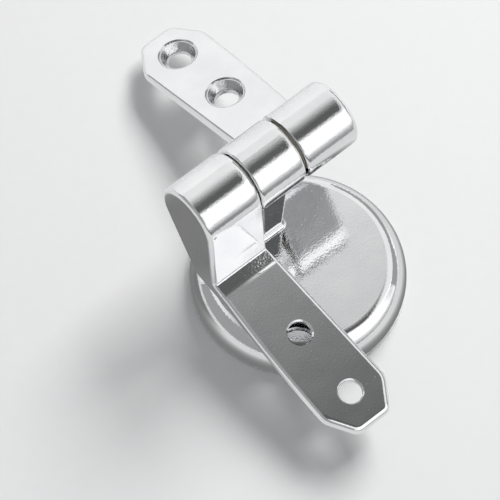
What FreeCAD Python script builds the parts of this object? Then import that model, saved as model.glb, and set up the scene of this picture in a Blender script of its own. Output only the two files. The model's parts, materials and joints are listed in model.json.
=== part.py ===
"""Toilet seat hinge: a cast base with a pillar, a seat arm and a lid arm on one barrel.

Millimetres. The origin is the middle of the base disc's underside, +Z is up, +X runs along the barrel
from the seat arm to the lid arm, and the seat lies towards -Y.
"""
import FreeCAD, Part
import math
import os

from FreeCAD import Vector

# Base disc
disc_radius = 25.0
disc_height = 9.2
disc_shoulder = 4.0
disc_rim_height = 2.4
disc_wall = 2.6
disc_foot_edge = 0.5
disc_crown_edge = 3.0

# Fixing hole under the disc, for an M8 stud
fixing_hole_radius = 3.4
fixing_boss_radius = 8.0
fixing_hole_roof = 1.8
fixing_hole_lead_in = 0.6
disc_rib_count = 8
disc_rib_thickness = 1.6
disc_rib_recess = 1.0

# Barrel
axis_from_disc_edge = 10.4
axis_height = 34.5
barrel_radius = 8.4
middle_knuckle_length = 13.2
end_knuckle_length = 15.1
knuckle_edge = 1.0

# Pillar, a post with a flat front that narrows towards the disc
pillar_foot_width = 6.9
pillar_top_width = 9.5
pillar_depth = 10.4
pillar_corner_round = 1.3
pillar_foot_fillet = 1.0
pillar_top_fillet = 0.8

# Hinge pin and the nylon bushes that turn on it
pin_radius = 3.0
pin_reach = 17.3
pin_tip_chamfer = 0.5
groove_depth = 0.35
groove_width = 1.5
groove_from_tip = 1.6
bush_wall = 1.55
bush_length = 10.6
bush_bore_depth = 11.0
bush_flange_thickness = 0.4
bush_flange_inset = 1.8
bush_mouth_chamfer = 0.3
running_clearance = 0.05
side_play = 0.1
bead_clearance = 0.12

# Arms, measured from the barrel's axis
arm_reach = 59.6
arm_corner_reach = 52.6
arm_flare_reach = 17.0
arm_flare_middle_reach = 30.0
arm_flare_beyond_knuckle = 0.575
arm_corner_width = 18.4
arm_end_width = 9.2
arm_inset = 0.95
arm_tip_thickness = 3.2
arm_root_thickness = 4.2
arm_corner_round = 4.5
arm_end_round = 2.6
arm_edge = 1.3
arm_inner_trim = 1.8
arm_trim_start = 12.0
arm_trim_end = 24.0
neck_lean = 15.0
neck_ramp_length = 3.0
neck_ramp_rise = 0.4
neck_ramp_round = 6.0
neck_bend_fillet = 0.6
neck_heel_fillet = 3.0

# Each arm's own drop below the axis and the lean of the back of its neck
seat_arm_drop = 15.4
seat_neck_back_lean = 42.0
seat_rest_clearance = 1.2
lid_arm_drop = 11.6
lid_neck_back_lean = 55.0
lid_tip_lift = 2.7

# Screw holes
screw_hole_radius = 2.8
screw_head_radius = 4.45
screw_head_half_angle = 37.0
screw_hole_edge = 0.35
screw_seat_round = 0.8
first_screw_reach = 33.0
screw_spacing = 17.8

# Sizes that follow from the ones above
disc_flat_radius = disc_radius - disc_shoulder
axis_back = disc_radius - axis_from_disc_edge
joint_gap = bush_flange_thickness + side_play
knuckle_inner = middle_knuckle_length / 2 + joint_gap
knuckle_outer = knuckle_inner + end_knuckle_length
arm_middle = (knuckle_inner + knuckle_outer) / 2 - arm_inset
bush_bore_radius = pin_radius + running_clearance
bush_radius = bush_bore_radius + bush_wall
bush_flange_radius = barrel_radius - bush_flange_inset
screw_reaches = [first_screw_reach, first_screw_reach + screw_spacing]
screw_head_spread = math.tan(math.radians(screw_head_half_angle))
screw_head_depth = (screw_head_radius - screw_hole_radius) / screw_head_spread
beyond = 2 * barrel_radius
sharp_angle = 20.0

x_axis = Vector(1, 0, 0)
z_axis = Vector(0, 0, 1)
barrel_centre = Vector(0, axis_back, axis_height)


def closed_face(edges):
    """A flat face inside a closed chain of edges."""
    return Part.Face(Part.Wire(Part.__sortEdges__(edges)))


def line(a, b):
    return Part.LineSegment(a, b).toShape()


def arc(a, through, b):
    return Part.Arc(a, through, b).toShape()


def edges_at(shape, test):
    """The edges whose two ends and middle all pass the test."""
    found = []
    for edge in shape.Edges:
        middle = edge.valueAt((edge.FirstParameter + edge.LastParameter) / 2)
        points = [vertex.Point for vertex in edge.Vertexes] + [middle]
        if all(test(point) for point in points):
            found.append(edge)
    return found


def near(a, b):
    return abs(a - b) < 1e-4


def revolved(outline, base, axis):
    """A closed outline turned once round an axis."""
    return closed_face(outline).revolve(base, axis, 360)


def polygon_edges(points):
    return [line(a, b) for a, b in zip(points, points[1:] + points[:1])]


# Base disc


def crown_arc(rim_radius, rim_height, flat_radius, flat_height):
    """The convex side of the disc: upright at the rim, meeting the flat top at a crease."""
    run = rim_radius - flat_radius
    rise = flat_height - rim_height
    bulge = (run ** 2 + rise ** 2) / (2 * run)
    half_turn = math.asin(rise / bulge) / 2
    middle = rim_radius - bulge
    through = Vector(middle + bulge * math.cos(half_turn), 0, rim_height + bulge * math.sin(half_turn))
    return arc(Vector(rim_radius, 0, rim_height), through, Vector(flat_radius, 0, flat_height))


def disc_shell():
    """The hollow disc, open underneath."""
    inner_rim = disc_radius - disc_wall
    inner_flat = disc_flat_radius - disc_wall
    inner_height = disc_height - disc_wall
    outline = [
        line(Vector(0, 0, disc_height), Vector(disc_flat_radius, 0, disc_height)),
        crown_arc(disc_radius, disc_rim_height, disc_flat_radius, disc_height),
        line(Vector(disc_radius, 0, disc_rim_height), Vector(disc_radius, 0, 0)),
        line(Vector(disc_radius, 0, 0), Vector(inner_rim, 0, 0)),
        line(Vector(inner_rim, 0, 0), Vector(inner_rim, 0, disc_rim_height)),
        crown_arc(inner_rim, disc_rim_height, inner_flat, inner_height),
        line(Vector(inner_flat, 0, inner_height), Vector(0, 0, inner_height)),
        line(Vector(0, 0, inner_height), Vector(0, 0, disc_height)),
    ]
    shell = revolved(outline, Vector(0, 0, 0), z_axis)
    for height, radius, rounding in (
        (disc_height, disc_flat_radius, disc_crown_edge),
        (0, disc_radius, disc_foot_edge),
    ):
        ring = edges_at(shell, lambda p: near(p.z, height) and near(math.hypot(p.x, p.y), radius))
        shell = shell.makeFillet(rounding, ring)
    return shell


def disc_ribs():
    """Radial ribs that stiffen the disc from the fixing boss out to its rim."""
    length = disc_radius - disc_wall / 2
    height = disc_height - disc_wall / 2 - disc_rib_recess
    ribs = []
    for index in range(disc_rib_count):
        corner = Vector(0, -disc_rib_thickness / 2, disc_rib_recess)
        rib = Part.makeBox(length, disc_rib_thickness, height, corner)
        rib.rotate(Vector(0, 0, 0), z_axis, 360 * (index + 0.5) / disc_rib_count)
        ribs.append(rib)
    mid_flat = disc_flat_radius - disc_wall / 2
    mid_height = disc_height - disc_wall / 2
    inside = revolved([
        line(Vector(0, 0, 0), Vector(length, 0, 0)),
        line(Vector(length, 0, 0), Vector(length, 0, disc_rim_height)),
        crown_arc(length, disc_rim_height, mid_flat, mid_height),
        line(Vector(mid_flat, 0, mid_height), Vector(0, 0, mid_height)),
        line(Vector(0, 0, mid_height), Vector(0, 0, 0)),
    ], Vector(0, 0, 0), z_axis)
    return [rib.common(inside) for rib in ribs]


# Pillar and middle knuckle


def pillar():
    """A post of oblong section with rounded corners, its long way running front to back."""
    sections = []
    for width, height in ((pillar_foot_width, disc_height - disc_wall / 2), (pillar_top_width, axis_height)):
        corners = [Vector(across * width / 2, axis_back + along * pillar_depth / 2, height)
                   for across, along in ((1, 1), (-1, 1), (-1, -1), (1, -1))]
        sections.append(Part.Wire(polygon_edges(corners)))
    post = Part.makeLoft(sections, True, True)
    upright = [edge for edge in post.Edges if edge.BoundBox.ZLength > disc_height]
    return post.makeFillet(pillar_corner_round, upright)


def knuckle(start, length):
    """A round stretch of the barrel with rounded ends."""
    body = Part.makeCylinder(barrel_radius, length, Vector(start, axis_back, axis_height), x_axis)
    ends = edges_at(body, lambda p: near(p.x, start) or near(p.x, start + length))
    return body.makeFillet(knuckle_edge, ends)


def base_pillar():
    """Disc, pillar and middle knuckle, cast as one piece."""
    body = disc_shell().fuse(pillar())

    def round_the_pillar(p):
        return near(p.z, disc_height) and math.hypot(p.x, p.y - axis_back) < pillar_depth

    def under_the_knuckle(p):
        on_barrel = near(math.hypot(p.y - axis_back, p.z - axis_height), barrel_radius)
        return on_barrel and p.z < axis_height and abs(p.x) < pillar_top_width / 2

    body = body.makeFillet(pillar_foot_fillet, edges_at(body, round_the_pillar))
    body = body.fuse(knuckle(-middle_knuckle_length / 2, middle_knuckle_length))
    body = body.makeFillet(pillar_top_fillet, edges_at(body, under_the_knuckle))
    boss = Part.makeCylinder(fixing_boss_radius, disc_height - disc_wall / 2)
    body = body.fuse(disc_ribs() + [boss])
    fixing_hole = Part.makeCylinder(fixing_hole_radius, disc_height - fixing_hole_roof)
    mouth_radius = fixing_hole_radius + fixing_hole_lead_in
    lead_in = Part.makeCone(mouth_radius, fixing_hole_radius, fixing_hole_lead_in)
    pin_hole = Part.makeCylinder(pin_radius, middle_knuckle_length,
                                 Vector(-middle_knuckle_length / 2, axis_back, axis_height), x_axis)
    return body.cut([fixing_hole, lead_in, pin_hole]).removeSplitter()


# Arms. Their outlines are drawn with the barrel's axis level: reach runs out along the arm, drop runs down.


class ArmFrame:
    """Turns an arm's own measures into places: side is -1 for the seat arm and 1 for the lid arm."""

    def __init__(self, side, drop, back_lean):
        self.side = side
        self.drop = drop
        self.back_lean = math.radians(back_lean)
        lean = math.radians(neck_lean)
        slide = (drop + barrel_radius * math.sin(lean)) / math.cos(lean)
        self.front_touch = (barrel_radius * math.cos(lean), -barrel_radius * math.sin(lean))
        self.bend_reach = self.front_touch[0] + slide * math.sin(lean)
        self.ramp_head = (self.bend_reach - neck_ramp_rise * math.tan(lean), drop - neck_ramp_rise)
        self.taper = (arm_root_thickness - arm_tip_thickness) / (arm_reach - self.bend_reach)

    def place(self, along, reach, drop):
        """A point: along is the distance from the barrel's middle."""
        return Vector(self.side * along, self.side * reach, -drop)

    def thickness(self, reach):
        return arm_tip_thickness + self.taper * (arm_reach - reach)

    def heel(self):
        """Where the back of the neck meets the arm's underside."""
        back = self.back_lean
        touch = (-barrel_radius * math.cos(back), barrel_radius * math.sin(back))
        below = self.drop + self.thickness(touch[0]) - touch[1]
        slide = below / (math.cos(back) + self.taper * math.sin(back))
        return touch[0] + slide * math.sin(back), touch[1] + slide * math.cos(back)


def arm_profile(frame):
    """The arm seen along the barrel: knuckle, leaning neck, short ramp and tapered flat."""
    back = frame.back_lean
    start = knuckle_inner - beyond

    def at(reach, drop):
        return frame.place(start, reach, drop)

    touch_front = at(*frame.front_touch)
    touch_back = at(-barrel_radius * math.cos(back), barrel_radius * math.sin(back))
    crown = at(-barrel_radius * math.sin(math.pi / 4), -barrel_radius * math.cos(math.pi / 4))
    ramp_head = at(*frame.ramp_head)
    ramp_foot = at(frame.bend_reach + neck_ramp_length, frame.drop)
    tip_top = at(arm_reach + beyond, frame.drop)
    tip_under = at(arm_reach + beyond, frame.drop + frame.thickness(arm_reach + beyond))
    heel = at(*frame.heel())
    outline = [
        arc(touch_back, crown, touch_front),
        line(touch_front, ramp_head),
        line(ramp_head, ramp_foot),
        line(ramp_foot, tip_top),
        line(tip_top, tip_under),
        line(tip_under, heel),
        line(heel, touch_back),
    ]
    length = end_knuckle_length + 2 * beyond
    profile = closed_face(outline).extrude(x_axis * frame.side * length)
    bends = ((ramp_head, neck_bend_fillet), (ramp_foot, neck_ramp_round), (heel, neck_heel_fillet))
    for corner, radius in bends:
        fold = edges_at(profile, lambda p: near(p.y, corner.y) and near(p.z, corner.z))
        profile = profile.makeFillet(radius, fold)
    return profile


def arm_outline(frame):
    """The arm seen from above: its inner side straight, its outer side flared, its end clipped."""
    top = -beyond

    def at(along, reach):
        return frame.place(along, reach, top)

    inner_back = at(knuckle_inner, -beyond)
    inner_corner = at(arm_middle - arm_corner_width / 2, arm_corner_reach)
    inner_end = at(arm_middle - arm_end_width / 2, arm_reach)
    outer_back = at(knuckle_outer, -beyond)
    outer_start = at(knuckle_outer, arm_flare_reach)
    outer_middle = at(knuckle_outer + arm_flare_beyond_knuckle, arm_flare_middle_reach)
    outer_corner = at(arm_middle + arm_corner_width / 2, arm_corner_reach)
    outer_end = at(arm_middle + arm_end_width / 2, arm_reach)
    plan = [
        line(inner_back, inner_corner),
        line(inner_corner, inner_end),
        line(inner_end, outer_end),
        line(outer_end, outer_corner),
        arc(outer_corner, outer_middle, outer_start),
        line(outer_start, outer_back),
        line(outer_back, inner_back),
    ]
    height = 2 * beyond + frame.drop + arm_root_thickness
    prism = closed_face(plan).extrude(Vector(0, 0, -height))
    rounded = ((arm_corner_round, inner_corner, outer_corner), (arm_end_round, inner_end, outer_end))
    for radius, *corners in rounded:
        upright = edges_at(prism, lambda p: any(near(p.x, c.x) and near(p.y, c.y) for c in corners))
        prism = prism.makeFillet(radius, upright)
    return prism


def inner_trim(frame):
    """What is faced off the knuckle and neck beside the middle knuckle, leaving them a crisp edge there."""
    top = -beyond
    plan = [
        frame.place(0, -beyond, top),
        frame.place(knuckle_inner, -beyond, top),
        frame.place(knuckle_inner, arm_trim_start, top),
        frame.place(knuckle_inner - arm_inner_trim, arm_trim_end, top),
        frame.place(0, arm_trim_end, top),
    ]
    height = 2 * beyond + frame.drop + arm_root_thickness
    return closed_face(polygon_edges(plan)).extrude(Vector(0, 0, -height))


def screw_cutters(frame, countersunk_below):
    """Through holes with a countersink on one face and a small edge break on the other."""
    cutters = []
    for reach in screw_reaches:
        top = frame.drop
        under = frame.drop + frame.thickness(reach)
        head_face, plain_face, inward = (under, top, -1) if countersunk_below else (top, under, 1)
        cutters.append(Part.makeCylinder(screw_hole_radius, 2 * beyond,
                                         frame.place(arm_middle, reach, top + beyond), z_axis))
        head_deep = head_face + inward * screw_head_depth
        head_out = head_face - inward * screw_hole_edge
        wide = screw_head_radius + screw_hole_edge * screw_head_spread
        cutters.append(Part.makeCone(screw_hole_radius, wide, abs(head_out - head_deep),
                                     frame.place(arm_middle, reach, head_deep), Vector(0, 0, inward)))
        mouths = ((head_face, screw_head_radius, inward), (plain_face, screw_hole_radius, -inward))
        for face, radius, way in mouths:
            mouth = face + way * screw_hole_edge
            cutters.append(Part.makeCone(radius, radius + 2 * screw_hole_edge, 2 * screw_hole_edge,
                                         frame.place(arm_middle, reach, mouth), Vector(0, 0, way)))
    return cutters


def screw_seats(frame, arm, countersunk_below):
    """The rings where a countersink runs into its hole."""
    rings = []
    for reach in screw_reaches:
        under = frame.drop + frame.thickness(reach)
        seat = under - screw_head_depth if countersunk_below else frame.drop + screw_head_depth
        centre = frame.place(arm_middle, reach, seat)

        def on_ring(p):
            return near(p.distanceToPoint(centre), screw_hole_radius) and near(p.z, -seat)

        rings += edges_at(arm, on_ring)
    return rings


def sharp_edges(shape):
    """The edges where two faces meet at a clear angle."""
    found = []
    for edge in shape.Edges:
        middle = edge.valueAt((edge.FirstParameter + edge.LastParameter) / 2)
        normals = []
        for face in shape.ancestorsOfType(edge, Part.Face):
            normals.append(face.normalAt(*face.Surface.parameter(middle)))
        if len(normals) == 2 and normals[0].getAngle(normals[1]) > math.radians(sharp_angle):
            found.append(edge)
    return found


def level_arm(frame, countersunk_below):
    """One arm with its flat level, knuckle on the origin's X axis."""
    arm = arm_profile(frame).common(arm_outline(frame))
    arm = arm.makeFillet(arm_edge, sharp_edges(arm))
    bush_bore = Part.makeCylinder(bush_radius, bush_bore_depth, frame.place(knuckle_inner, 0, 0),
                                  x_axis * frame.side)
    arm = arm.cut(screw_cutters(frame, countersunk_below) + [inner_trim(frame), bush_bore])
    return arm.makeFillet(screw_seat_round, screw_seats(frame, arm, countersunk_below))


def seat_rest_tilt(frame):
    """How far the seat arm dips with the seat down, its underside clear of the disc's front edge."""
    inner_edge = arm_middle - arm_corner_width / 2
    forward = axis_back + math.sqrt(disc_flat_radius ** 2 - inner_edge ** 2)
    down = axis_height - disc_height
    slope = math.hypot(1, frame.taper)
    offset = (frame.drop + frame.thickness(0)) / slope + seat_rest_clearance
    return math.degrees(math.atan2(down, forward) + math.atan(frame.taper)
                        - math.asin(offset / math.hypot(forward, down)))


def lid_rest_tilt(frame):
    """How far the lid arm dips behind when it lies with its tip just off the surface the base stands on."""
    tip_drop = frame.drop + arm_tip_thickness
    return math.degrees(math.asin((axis_height - lid_tip_lift) / math.hypot(arm_reach, tip_drop))
                        - math.atan2(tip_drop, arm_reach))


def hung(shape, side, tilt):
    """A level piece turned down by its tilt and carried to the barrel's axis."""
    shape.rotate(Vector(0, 0, 0), x_axis, -side * tilt)
    shape.translate(barrel_centre)
    return shape


# Pin and bushes


def hinge_pin():
    """The steel pin, grooved near each end so that the bushes snap on."""
    groove_end = pin_reach - groove_from_tip
    groove_start = groove_end - groove_width
    half = [
        (groove_start, pin_radius),
        (groove_start, pin_radius - groove_depth),
        (groove_end, pin_radius - groove_depth),
        (groove_end, pin_radius),
        (pin_reach - pin_tip_chamfer, pin_radius),
        (pin_reach, pin_radius - pin_tip_chamfer),
        (pin_reach, 0),
    ]
    points = [Vector(along, 0, radius) for along, radius in half]
    points += [Vector(-along, 0, radius) for along, radius in reversed(half)]
    pin = revolved(polygon_edges(points), Vector(0, 0, 0), x_axis)
    pin.translate(barrel_centre)
    return pin


def arm_bush(side):
    """A flanged nylon bush: the flange keeps the knuckles apart, the bead runs in the pin's groove."""
    groove_middle = pin_reach - groove_from_tip - groove_width / 2
    bead_half = groove_width / 2 - bead_clearance
    bead_radius = pin_radius - groove_depth + bead_clearance
    bead_rise = bush_bore_radius - bead_radius
    outline = [
        (knuckle_inner - bush_flange_thickness, bush_bore_radius + bush_mouth_chamfer),
        (knuckle_inner - bush_flange_thickness, bush_flange_radius),
        (knuckle_inner, bush_flange_radius),
        (knuckle_inner, bush_radius),
        (knuckle_inner + bush_length, bush_radius),
        (knuckle_inner + bush_length, bush_bore_radius),
        (groove_middle + bead_half, bush_bore_radius),
        (groove_middle + bead_half - bead_rise, bead_radius),
        (groove_middle - bead_half + bead_rise, bead_radius),
        (groove_middle - bead_half, bush_bore_radius),
        (knuckle_inner - bush_flange_thickness + bush_mouth_chamfer, bush_bore_radius),
    ]
    points = [Vector(side * along, 0, radius) for along, radius in outline]
    return revolved(polygon_edges(points), Vector(0, 0, 0), x_axis)


seat_frame = ArmFrame(-1, seat_arm_drop, seat_neck_back_lean)
lid_frame = ArmFrame(1, lid_arm_drop, lid_neck_back_lean)
seat_tilt = seat_rest_tilt(seat_frame)
lid_tilt = lid_rest_tilt(lid_frame)

parts = {
    "base_pillar": base_pillar(),
    "seat_arm": hung(level_arm(seat_frame, True), -1, seat_tilt),
    "lid_arm": hung(level_arm(lid_frame, False), 1, lid_tilt),
    "hinge_pin": hinge_pin(),
    "seat_arm_bush": hung(arm_bush(-1), -1, seat_tilt),
    "lid_arm_bush": hung(arm_bush(1), 1, lid_tilt),
}

os.makedirs("parts", exist_ok=True)
for name, shape in parts.items():
    shape.exportStep("parts/" + name + ".step")
    box = shape.optimalBoundingBox()
    print(name, len(shape.Solids), "solid", shape.isValid(), round(shape.Volume, 1), "mm3",
          [round(v, 2) for v in (box.XMin, box.XMax, box.YMin, box.YMax, box.ZMin, box.ZMax)])
print("seat arm tilt", round(seat_tilt, 3), "lid arm tilt", round(lid_tilt, 3))
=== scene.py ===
# %% [markdown]
# # A chromed toilet seat hinge
# The hinge is three zinc castings on one steel pin: a round base with a pillar, an arm that is screwed
# under the seat and an arm that is screwed under the lid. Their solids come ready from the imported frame,
# so this lesson is about finish: how thin bright chrome over cast zinc is told apart from a perfect mirror,
# and how the light is set so that the chrome has something to reflect.

# %% Load the frame
import json

import bpy
from mathutils import Matrix, Vector

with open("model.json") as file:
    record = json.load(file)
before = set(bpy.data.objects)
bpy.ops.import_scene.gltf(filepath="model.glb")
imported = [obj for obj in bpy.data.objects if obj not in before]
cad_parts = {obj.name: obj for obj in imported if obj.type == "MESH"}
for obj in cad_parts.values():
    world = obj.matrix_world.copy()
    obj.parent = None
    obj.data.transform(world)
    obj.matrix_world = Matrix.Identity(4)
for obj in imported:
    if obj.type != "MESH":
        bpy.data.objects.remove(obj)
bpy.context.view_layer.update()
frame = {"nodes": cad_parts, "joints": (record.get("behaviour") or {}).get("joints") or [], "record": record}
nodes = frame["nodes"]
MM = 0.001
print("castings and inner pieces:", sorted(nodes))

# %% [markdown]
# ## Sums of sockets
# A finish is a small sum over the surface: a little ripple, a little grain, a few specks of dust. Wiring
# each Math node by hand hides the sum, so one small class wraps a socket and lets Python's own signs add
# the nodes. Its method called node makes any other kind of node, with the settings first and the sockets
# after them, because a setting can change which sockets there are.


# %% The socket class
class Flow:
    """A socket in a node tree that can be added, subtracted and multiplied like a number."""

    def __init__(self, tree, plug=None):
        self.tree = tree
        self.plug = plug

    def node(self, kind, sockets=None, out=0, **settings):
        """Adds one node: its settings first, then its sockets' values or links."""
        made = self.tree.nodes.new(kind)
        for name, value in settings.items():
            setattr(made, name, value)
        for key, value in (sockets or {}).items():
            self.feed(made.inputs[key], value)
        return Flow(self.tree, made.outputs[out])

    def feed(self, target, value):
        if isinstance(value, Flow):
            self.tree.links.new(value.plug, target)
        else:
            target.default_value = value

    def maths(self, operation, *values):
        return self.node("ShaderNodeMath", dict(enumerate(values)), operation=operation)

    def __add__(self, other):
        return self.maths("ADD", self, other)

    def __radd__(self, other):
        return self.maths("ADD", other, self)

    def __sub__(self, other):
        return self.maths("SUBTRACT", self, other)

    def __rsub__(self, other):
        return self.maths("SUBTRACT", other, self)

    def __mul__(self, other):
        return self.maths("MULTIPLY", self, other)

    def __rmul__(self, other):
        return self.maths("MULTIPLY", other, self)

    def __abs__(self):
        return self.maths("ABSOLUTE", self)

    def root(self):
        return self.maths("SQRT", self)

    def step(self, low, high):
        """0 below low, 1 above high and a smooth rise between them."""
        sockets = {0: self, 1: low, 2: high}
        return self.node("ShaderNodeMapRange", sockets, interpolation_type="SMOOTHSTEP")


def diagonal(first, second):
    """Length of the diagonal over two sides."""
    return (first * first + second * second).root()


def colour(red, green, blue):
    return (red, green, blue, 1.0)


def grey(level):
    return colour(level, level, level)


# %% [markdown]
# ## A blank finish
# Every finish here starts from the same three things: a material with one Principled shader, the place of
# the surface point on the piece, and soft noise at a chosen grain size. The place is read in Object
# coordinates, which are metres from the hinge's own origin and ride with a moving arm, so no pattern slides.


# %% A blank finish
class Finish:
    """A new material with its shader, its surface place and noise by grain size."""

    def __init__(self, name):
        self.material = bpy.data.materials.new(name)
        self.material.use_nodes = True
        self.tree = self.material.node_tree
        self.shader = next(n for n in self.tree.nodes if n.type == "BSDF_PRINCIPLED")
        self.flow = Flow(self.tree)
        self.place = self.flow.node("ShaderNodeTexCoord", out="Object")

    def axis(self, name):
        return self.flow.node("ShaderNodeSeparateXYZ", {0: self.place}, out=name)

    def noise(self, grain, detail, place=None):
        """Soft noise from 0 to 1 whose lumps are about one grain, in metres, across."""
        sockets = {"Vector": place or self.place, "Scale": 1 / grain, "Detail": detail}
        return self.flow.node("ShaderNodeTexNoise", sockets, normalize=True)

    def blend(self, factor, first, second):
        sockets = {0: factor, 6: first, 7: second}
        return self.flow.node("ShaderNodeMix", sockets, out=2, data_type="RGBA")

    def bump(self, height, distance=1.0):
        """Bends the surface by a height, in metres when the distance is 1."""
        return self.flow.node("ShaderNodeBump", {"Height": height, "Distance": distance, "Strength": 1.0})

    def set(self, **values):
        for name, value in values.items():
            socket = name.replace("_", " ").title().replace("Ior", "IOR")
            self.flow.feed(self.shader.inputs[socket], value)

    def give(self, *names):
        for name in names:
            nodes[name].data.materials.clear()
            nodes[name].data.materials.append(self.material)
        print(self.material.name, "on", ", ".join(names))


# %% [markdown]
# ## Where the polishing wheel can't reach
# The wheel smooths the open faces but can't get into the countersinks, so their plating stays coarse. They
# could have a material of their own, but then the edge of the coarse plating would be as sharp as a seam.
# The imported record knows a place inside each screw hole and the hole's axis, which points to the arm's plain
# face. A point lies in a countersink when it is near the axis, short of the plain face and not past the
# countersunk one.

# %% Countersinks
COUNTERSINK_RADIUS = 4.7 * MM
PLAIN_SIDE = 0.5 * MM
COUNTERSUNK_SIDE = -3.7 * MM
SOFT_EDGE = 0.1 * MM
screw_mounts = [m for m in frame["record"]["mounts"] if "screw" in m["name"]]
print("screw holes:", [m["name"] for m in screw_mounts])


def in_countersinks(finish):
    """1 inside a countersink and 0 elsewhere."""
    def vector(operation, *sides, out=0):
        return finish.flow.node("ShaderNodeVectorMath", dict(enumerate(sides)), out=out, operation=operation)

    inside = 0.0
    for mount in screw_mounts:
        offset = vector("SUBTRACT", finish.place, mount["pos_m"])
        sideways = vector("LENGTH", vector("CROSS_PRODUCT", offset, mount["axis"]), out="Value")
        along = vector("DOT_PRODUCT", offset, mount["axis"], out="Value")
        near_axis = 1 - sideways.step(COUNTERSINK_RADIUS - SOFT_EDGE, COUNTERSINK_RADIUS + SOFT_EDGE)
        short_of_plain = 1 - along.step(PLAIN_SIDE - SOFT_EDGE, PLAIN_SIDE)
        not_past = along.step(COUNTERSUNK_SIDE - 2 * SOFT_EDGE, COUNTERSUNK_SIDE)
        inside = inside + near_axis * short_of_plain * not_past
    return inside


# %% [markdown]
# ## Where the wheel rolls an edge over
# A soft wheel presses round the ends of each knuckle, so the last two millimetres or so of the barrel fall
# away a little and the reflections curl there. The fall is too shallow to model, and a bump that depends on
# the distance from the nearest end shows it. It fades out over the necks by the distance from the axis.

# %% Rolled ends
AXIS_Y, AXIS_Z = frame["joints"][0]["pos_m"][1:]
BARREL_RADIUS = 8.4 * MM
ON_BARREL = BARREL_RADIUS + 0.05 * MM
MIDDLE_END = 6.6 * MM
ARM_INNER_END = 7.1 * MM
ARM_OUTER_END = 22.2 * MM
ROLL_LENGTH = 2.4 * MM
ROLL_DEPTH = 0.22 * MM
ROLL_FADE = BARREL_RADIUS + 5.0 * MM
print("barrel's axis at", AXIS_Y, AXIS_Z)


def from_axis(finish):
    """Distance from the hinge's axis."""
    return diagonal(finish.axis("Y") - AXIS_Y, finish.axis("Z") - AXIS_Z)


def rolled_end(finish):
    """How far the barrel falls at the knuckles' ends, as a share of the roll's depth."""
    side = abs(finish.axis("X"))
    gap_middle = (MIDDLE_END + ARM_INNER_END) / 2
    from_gap = abs(side - gap_middle) - (ARM_INNER_END - gap_middle)
    from_end = finish.flow.maths("MINIMUM", from_gap, ARM_OUTER_END - side)
    fall = finish.flow.node("ShaderNodeMapRange", {0: from_end, 1: ROLL_LENGTH, 2: 0.0})
    return fall * fall * (1 - from_axis(finish).step(ON_BARREL, ROLL_FADE))


# %% [markdown]
# ## Where the wheel starts
# Nor does the wheel get into the corner between the seat arm's neck and its flat top. A strip there keeps
# the casting's grain, and the wheel's first touch leaves a shallow groove along the strip's front. Both
# grow stronger towards the barrel's middle, where the wheel is held off by the pillar.

# %% The seat arm's corner
CORNER_Y = 4.2 * MM
ARM_INNER_SIDE = -7.2 * MM
ABOVE_UNDERSIDE = 15.5 * MM
INNER_FROM, INNER_TO = -18 * MM, -8 * MM
STRIP_START = 0.3 * MM
STRIP_WIDTH = 3.1 * MM
GROOVE_WIDTH = 1.2 * MM
GROOVE_DEPTH = 0.15 * MM
print("strip and groove, in metres:", STRIP_WIDTH, GROOVE_WIDTH)


def seat_corner(finish):
    """How coarse the strip is, from 0 to 3, and how deep its groove is, from 0 to 1."""
    side = finish.axis("X")
    forward = CORNER_Y - finish.axis("Y")
    above = finish.axis("Z").step(ABOVE_UNDERSIDE, ABOVE_UNDERSIDE + 0.5 * MM)
    on_arm = above * (1 - side.step(ARM_INNER_SIDE, ARM_INNER_SIDE + SOFT_EDGE))
    inner = side.step(INNER_FROM, INNER_TO)
    strip_end = 1 - forward.step(STRIP_WIDTH - 0.2 * MM, STRIP_WIDTH + 0.4 * MM)
    strip = forward.step(-0.5 * MM, STRIP_START) * strip_end
    groove_rise = 1 - forward.step(STRIP_WIDTH, STRIP_WIDTH + GROOVE_WIDTH)
    groove = forward.step(STRIP_START, STRIP_WIDTH) * groove_rise
    return strip * on_arm * (1 + 2 * inner), groove * on_arm * inner


# %% [markdown]
# ## Chrome over cast zinc
# Bright chrome is a metal a micrometre thick over polished zinc, so it is nearly a mirror, but not a flat
# one: the polishing wheel leaves a long soft ripple, the casting's skin leaves a fine grain that breaks up
# the edge of a dark reflection. Roughness alone would only blur the reflections, so the ripple and grain are
# a bump, which bends them. The grain is faint on the arms and the front of the disc, stronger on the barrel
# and on the disc's top near the pillar, and coarse where the wheel can't reach.

# %% The chrome's grain
SKIN_DEPTH = 0.02 * MM
DISC_TOP_LOW, DISC_TOP_HIGH = 9.1 * MM, 9.3 * MM
chrome = Finish("bright_chrome_plate")
ripple = chrome.noise(6.0 * MM, detail=1.0)
grain = chrome.noise(0.45 * MM, detail=1.0)
height, radius = chrome.axis("Z"), from_axis(chrome)
above_rim = height.step(DISC_TOP_LOW - 0.5 * MM, DISC_TOP_LOW)
disc_top = above_rim * (1 - height.step(DISC_TOP_HIGH, DISC_TOP_HIGH + 0.9 * MM))
near_pillar = disc_top * chrome.axis("Y").step(-14 * MM, -3 * MM)
outside_ends = radius.step(BARREL_RADIUS - 0.8 * MM, BARREL_RADIUS - 0.4 * MM)
barrel = outside_ends * (1 - radius.step(ON_BARREL, BARREL_RADIUS + 0.5 * MM))
coarse = in_countersinks(chrome)
strip, groove = seat_corner(chrome)
skin = ripple + grain * (0.4 + 0.6 * barrel + 0.35 * near_pillar + 3 * coarse + strip)
fall = rolled_end(chrome) * ROLL_DEPTH + groove * GROOVE_DEPTH
print("grain and falls:", len(chrome.tree.nodes), "nodes")
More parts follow.
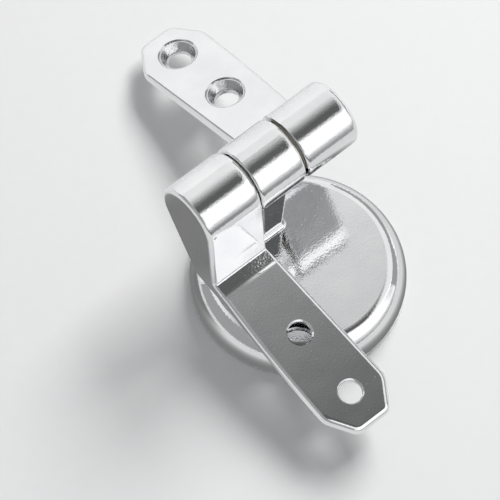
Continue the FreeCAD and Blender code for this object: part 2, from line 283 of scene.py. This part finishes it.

# %% [markdown]
# ## Tint, haze, painted shade and dust
# Chrome reflects less than silver and a little more blue than red. Wiping leaves a faint haze in broad
# patches, the coarse plating in the countersinks is duller and its colour is darkened as a painted shade for
# the shade in these recesses, and a speck of dust is matt. A second shader mixed over the first could do
# this, but small sums in the colour and roughness are enough.

# %% The chrome's tint and haze
haze = chrome.noise(9.0 * MM, detail=4.0)
speck = chrome.noise(0.45 * MM, detail=0.0).step(0.83, 0.86)
open_face = chrome.blend(haze.step(0.3, 0.7), colour(0.80, 0.81, 0.82), colour(0.86, 0.865, 0.87))
# Painted shade: the countersinks' colour is darkened for the shade in these recesses, on top of their coarse
# plating.
plated_and_shaded = chrome.blend(coarse * (0.5 + 0.5 * grain), open_face, colour(0.58, 0.59, 0.60))
chrome.set(
    base_color=chrome.blend(0.35 * speck, plated_and_shaded, colour(0.75, 0.74, 0.72)),
    metallic=1.0,
    roughness=0.05 + 0.03 * haze + 0.04 * coarse + 0.03 * strip + 0.25 * speck,
    normal=chrome.bump(skin * SKIN_DEPTH - fall),
)
chrome.give("base_pillar", "seat_arm", "lid_arm")

# %% [markdown]
# ## Natural nylon
# The bushes are moulded in uncoloured nylon, a warm cream that lets a little light in. Light scattered inside
# the plastic could be traced, but only a thin flange shows between the knuckles, so a clear colour, a matt
# surface and faint flow marks are enough.

# %% The nylon finish
nylon = Finish("cream_nylon")
flow_marks = nylon.noise(2.5 * MM, detail=3.0)
nylon.set(
    base_color=nylon.blend(flow_marks, colour(0.60, 0.54, 0.42), colour(0.70, 0.65, 0.53)),
    roughness=0.42 + 0.2 * flow_marks,
    normal=nylon.bump(nylon.noise(0.3 * MM, detail=3.0), 0.01 * MM),
)
nylon.give("seat_arm_bush", "lid_arm_bush")

# %% [markdown]
# ## Turned steel
# The pin is turned from bar, so its tool marks run round it. Rings could be cut into the solid, but the
# knuckles hide the pin, so the noise is only squeezed along the pin's length until its lumps become rings.

# %% The steel finish
SQUEEZE = (30.0, 1.0, 1.0)
steel = Finish("turned_pin_steel")
squeezed = steel.flow.node("ShaderNodeMapping", {"Vector": steel.place, "Scale": SQUEEZE})
rings = steel.noise(4.0 * MM, detail=3.0, place=squeezed)
steel.set(
    base_color=steel.blend(rings, colour(0.44, 0.44, 0.45), colour(0.60, 0.60, 0.61)),
    metallic=1.0,
    roughness=0.28 + 0.15 * rings,
    normal=steel.bump(rings, 0.01 * MM),
)
steel.give("hinge_pin")

# %% [markdown]
# ## Pale paper
# The hinge stands on a plain pale sheet. The sheet is clear when seen from below, and also under the base, so
# that light reaches the base's hollow underside and the ribs in it can be looked at. A hole could be cut in
# it, but a change in the finish needs no extra edges.

# %% The floor's finish
CLEAR_RADIUS = 24.2 * MM


def from_point(finish, x=0.0, y=0.0):
    """Distance from a point on the floor, seen from above; the base's middle is at 0, 0."""
    return diagonal(finish.axis("X") - x, finish.axis("Y") - y)


paper = Finish("pale_sheet")
tooth = paper.noise(3.0 * MM, detail=3.0)
from_above = 1 - paper.flow.node("ShaderNodeNewGeometry", out="Backfacing")
paper.set(
    base_color=paper.blend(tooth, grey(0.776), grey(0.80)),
    roughness=0.9,
    alpha=from_above * from_point(paper).step(CLEAR_RADIUS, CLEAR_RADIUS + 0.2 * MM),
)
print("paper: clear within", CLEAR_RADIUS)

# %% [markdown]
# ## Laying the sheet
# The sheet is one flat square, so large that its far edge is never in a reflection. It isn't part of the
# hinge.

# %% The floor
FLOOR_SIZE = 6.0


def deselect():
    if bpy.context.object and bpy.context.object.mode != "OBJECT":
        bpy.ops.object.mode_set(mode="OBJECT")
    bpy.ops.object.select_all(action="DESELECT")


deselect()
bpy.ops.mesh.primitive_plane_add(size=FLOOR_SIZE, location=(0, 0, 0))
floor = bpy.context.object
floor.name = "floor"
floor.data.materials.append(paper.material)
print("floor:", tuple(floor.dimensions))

# %% [markdown]
# ## Sheets of light
# Chrome shows only what surrounds it, so the studio is a set of sheets that are made to be mirrored. A lamp
# would give a hard white spot, and a picture of a room would bring in shapes that aren't there. Each sheet
# is a grid whose corners are put where they belong, so its Object coordinates are metres in the room and
# its light can change from one side to the other. The sheets that are mirrored light nothing, and the one
# that lights the floor is kept out of the reflections, so that each can be set by itself.


# %% One sheet
def glowing_sheet(name, low_edge, high_edge, x_range, glow, lights_floor=False, cover=None):
    """A sheet between two edges, each a (y, z) pair; glow makes its light from the sheet's finish."""
    deselect()
    bpy.ops.mesh.primitive_grid_add(x_subdivisions=4, y_subdivisions=4, size=1.0)
    sheet = bpy.context.object
    sheet.name = name
    for vertex in sheet.data.vertices:
        across, along = vertex.co.x + 0.5, vertex.co.y + 0.5
        x = x_range[0] + (x_range[1] - x_range[0]) * across
        y, z = (low + (high - low) * along for low, high in zip(low_edge, high_edge))
        vertex.co = (x, y, z)
    finish = Finish(name)
    finish.set(base_color=grey(0.0), roughness=1.0, specular_ior_level=0.0)
    finish.set(emission_color=glow(finish), emission_strength=1.0)
    if cover:
        finish.set(alpha=cover(finish))
    sheet.data.materials.append(finish.material)
    sheet.visible_camera = False
    sheet.visible_diffuse = lights_floor
    sheet.visible_shadow = lights_floor
    sheet.visible_glossy = not lights_floor
    print("sheet:", name)


# %% [markdown]
# ## In front
# A white sheet leans over the hinge from the front and draws the bright stripe along the barrel. Below it a
# second one is greyer near the floor, as paper is where less light falls on it. One sheet could be both, but
# two flat ones are easier to place.

# %% The front sheets
SIDES = (-0.4, 0.7)
FRONT, FRONT_TOP = -0.375, -0.345
CEILING = 0.42
LOW_EDGE = 0.12


def front_glow(finish):
    """White, a little dimmer towards its two ends."""
    side = finish.axis("X")
    middle = side.step(-0.27, -0.06) * (1 - side.step(0.33, 0.57))
    return finish.blend(middle, grey(0.9), grey(1.35))


def front_low_glow(finish):
    """Grey at the floor and white above."""
    return finish.blend(finish.axis("Z").step(0.02, 0.10), grey(0.62), grey(1.2))


glowing_sheet("front_sheet", (FRONT, LOW_EDGE), (FRONT_TOP, CEILING), SIDES, front_glow)
glowing_sheet("front_low", (FRONT, 0.0), (FRONT, LOW_EDGE), SIDES, front_low_glow)

# %% [markdown]
# ## Overhead and behind
# A bright ceiling would make the whole hinge white. The sheet overhead is dark instead, white along its front
# and right edges, and pales slowly towards the back, where a white wall stands. Its dark part draws the
# stripe along the top of the barrel and turns the seat arm's top grey.

# %% Overhead and behind
BACK = 0.51


def overhead_glow(finish):
    """Dark over the hinge, white at the front and right edges and paling towards the back."""
    along = finish.axis("Y")
    over_hinge = finish.blend(along.step(-0.065, 0.225), grey(0.12), grey(0.90))
    with_right = finish.blend(finish.axis("X").step(0.185, 0.25), over_hinge, grey(0.95))
    return finish.blend(along.step(-0.30, -0.15), grey(1.3), with_right)


def back_glow(finish):
    return finish.blend(finish.axis("Z").step(0.0, 0.4), grey(0.96), grey(1.03))


glowing_sheet("overhead_sheet", (FRONT_TOP, CEILING), (BACK, CEILING), SIDES, overhead_glow)
glowing_sheet("back_wall", (BACK, 0.0), (BACK, CEILING), SIDES, back_glow)

# %% [markdown]
# ## Card and shade
# On a pale floor the barrel's end and the disc's wall would mirror the floor and fade into it. A dull card
# on the floor in front, and a painted shadow that lies round the base and beside the barrel's end, give them
# a grey to mirror, as a photographer's dark card does. Both are seen only in reflections, and the shade stands
# in for the floor's contact shadow there. The shade is cut out under the disc.

# %% The card and the shade
CARD_HEIGHT = 2.0 * MM
SHADE_HEIGHT = 0.4 * MM
SHADE_REACH = 90 * MM
DISC_RADIUS = 25.0 * MM
BARREL_END_SEES = (-34 * MM, 24 * MM)


def card_glow(finish):
    """A dull card, paler to the right."""
    return finish.blend(finish.axis("X").step(-0.02, 0.12), grey(0.24), grey(0.44))


def shade_glow(finish):
    """Painted shadow: dark close to the disc and where the barrel's end looks down, and pale elsewhere."""
    off_disc = from_point(finish).step(DISC_RADIUS, DISC_RADIUS + 13 * MM)
    off_barrel_end = from_point(finish, *BARREL_END_SEES).step(8 * MM, 28 * MM)
    return finish.blend(off_disc * off_barrel_end, grey(0.22), grey(0.78))


def beside_disc(finish):
    return from_point(finish).step(DISC_RADIUS + 0.2 * MM, DISC_RADIUS + 0.3 * MM)


glowing_sheet("front_card", (-0.34, CARD_HEIGHT), (-0.085, CARD_HEIGHT), (-0.3, 0.5), card_glow)
# Painted shadow: the floor shade is a dark sheet seen only in reflections, for the floor's contact shadow.
glowing_sheet("floor_shade", (-SHADE_REACH, SHADE_HEIGHT), (SHADE_REACH, SHADE_HEIGHT),
              (-SHADE_REACH, SHADE_REACH), shade_glow, cover=beside_disc)

# %% [markdown]
# ## Floor light
# The floor is lit by one large sheet high on the right, towards the back, so the shadow falls softly to the
# left, and by a faint even light from all sides that keeps the shadow open.

# %% The floor's light
KEY_GLOW = 13.5
AIR_GLOW = 0.38
glowing_sheet("key_sheet", (0.90, 0.95), (-0.10, 1.45), (0.80, 1.80), lambda finish: grey(KEY_GLOW), True)
world = bpy.data.worlds.new("studio_air")
bpy.context.scene.world = world
world.use_nodes = True
air = world.node_tree.nodes["Background"].inputs
air["Color"].default_value = colour(0.97, 0.98, 1.0)
air["Strength"].default_value = AIR_GLOW
print("even light:", AIR_GLOW)

# %% [markdown]
# ## Camera
# The camera looks down from the front left with a long lens, as over a table, so the barrel runs up to the
# right across the picture. It could be turned by hand until it looks right, but its place and lens were
# solved instead, so that the hinge's corners fall where they are seen.

# %% Camera
SENSOR = 36.0
IMAGE = 500.0
FOCAL_PIXELS = 4871.476
camera_place = Vector((-359.178, -362.414, 1001.710)) * MM
looking = Vector((0.315422, 0.332816, -0.888675))
rightward = Vector((0.762279, -0.646626, 0.028393))
turned = Matrix((rightward, rightward.cross(looking), -looking)).transposed().to_4x4()
camera = bpy.data.objects.new("camera", bpy.data.cameras.new("camera"))
bpy.context.scene.collection.objects.link(camera)
camera.matrix_world = Matrix.Translation(camera_place) @ turned
camera.data.sensor_width = SENSOR
camera.data.lens = FOCAL_PIXELS * SENSOR / IMAGE
camera.data.clip_start = 0.05
bpy.context.scene.camera = camera
bpy.context.scene.view_settings.view_transform = "Standard"
print("lens:", camera.data.lens)
